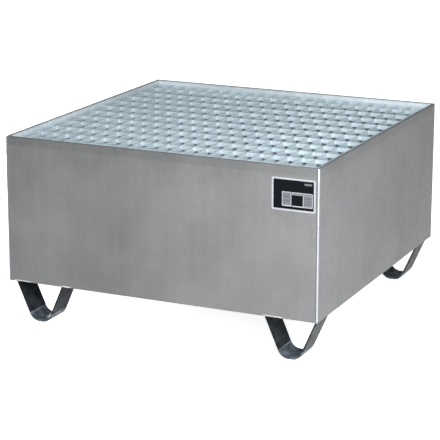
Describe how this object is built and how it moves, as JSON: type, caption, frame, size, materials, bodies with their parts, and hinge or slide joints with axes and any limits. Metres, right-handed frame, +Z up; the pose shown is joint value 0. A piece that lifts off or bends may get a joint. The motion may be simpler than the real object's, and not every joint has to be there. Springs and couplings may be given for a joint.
{
  "type": "spill containment pallet",
  "caption": "Square galvanised steel sump tub on bent strap feet, with a lift-out bar grating that carries a drum above the liquid it leaks.",
  "frame": {"origin": "on the floor under the middle of the tub", "axes": "+Z up, -Y towards the front wall that carries the rating plate, +X to the right seen from the front"},
  "size_m": [0.8016, 0.8016, 0.458],
  "materials": {
    "galvanised_sheet": "hot-dip galvanised, matt grey with faint mottle",
    "weld_metal": "bright rippled weld bead",
    "galvanised_bar": "hot-dip galvanised, bright bluish grey",
    "dark_strap": "dark grey steel strap, uneven",
    "plate_film": "satin black print on a pale film"
  },
  "bodies": {
    "tub": {"floor_plate": "galvanised_sheet", "front_wall": "galvanised_sheet", "right_wall": "galvanised_sheet", "back_wall": "galvanised_sheet", "left_wall": "galvanised_sheet", "front_ledge": "galvanised_sheet", "right_ledge": "galvanised_sheet", "back_ledge": "galvanised_sheet", "left_ledge": "galvanised_sheet", "front_right_corner_weld": "weld_metal", "back_right_corner_weld": "weld_metal", "back_left_corner_weld": "weld_metal", "front_left_corner_weld": "weld_metal", "front_floor_weld": "weld_metal", "right_floor_weld": "weld_metal", "back_floor_weld": "weld_metal", "left_floor_weld": "weld_metal", "front_right_foot": "dark_strap", "back_right_foot": "dark_strap", "back_left_foot": "dark_strap", "front_left_foot": "dark_strap", "rating_plate": "plate_film"},
    "grating": {"bearing_bar_01": "galvanised_bar", "bearing_bar_02": "galvanised_bar", "bearing_bar_03": "galvanised_bar", "bearing_bar_04": "galvanised_bar", "bearing_bar_05": "galvanised_bar", "bearing_bar_06": "galvanised_bar", "bearing_bar_07": "galvanised_bar", "bearing_bar_08": "galvanised_bar", "bearing_bar_09": "galvanised_bar", "bearing_bar_10": "galvanised_bar", "bearing_bar_11": "galvanised_bar", "bearing_bar_12": "galvanised_bar", "bearing_bar_13": "galvanised_bar", "bearing_bar_14": "galvanised_bar", "bearing_bar_15": "galvanised_bar", "bearing_bar_16": "galvanised_bar", "bearing_bar_17": "galvanised_bar", "bearing_bar_18": "galvanised_bar", "bearing_bar_19": "galvanised_bar", "bearing_bar_20": "galvanised_bar", "bearing_bar_21": "galvanised_bar", "bearing_bar_22": "galvanised_bar", "bearing_bar_23": "galvanised_bar", "cross_bar_01": "galvanised_bar", "cross_bar_02": "galvanised_bar", "cross_bar_03": "galvanised_bar", "cross_bar_04": "galvanised_bar", "cross_bar_05": "galvanised_bar", "cross_bar_06": "galvanised_bar", "cross_bar_07": "galvanised_bar", "cross_bar_08": "galvanised_bar", "cross_bar_09": "galvanised_bar", "cross_bar_10": "galvanised_bar", "cross_bar_11": "galvanised_bar", "left_band": "galvanised_bar", "right_band": "galvanised_bar", "front_band": "galvanised_bar", "back_band": "galvanised_bar"}
  },
  "joints": [
    {"name": "grating_lift", "type": "slide", "parent": "tub", "child": "grating", "axis": [0, 0, 1], "range_m": [0, 0.15]}
  ]
}
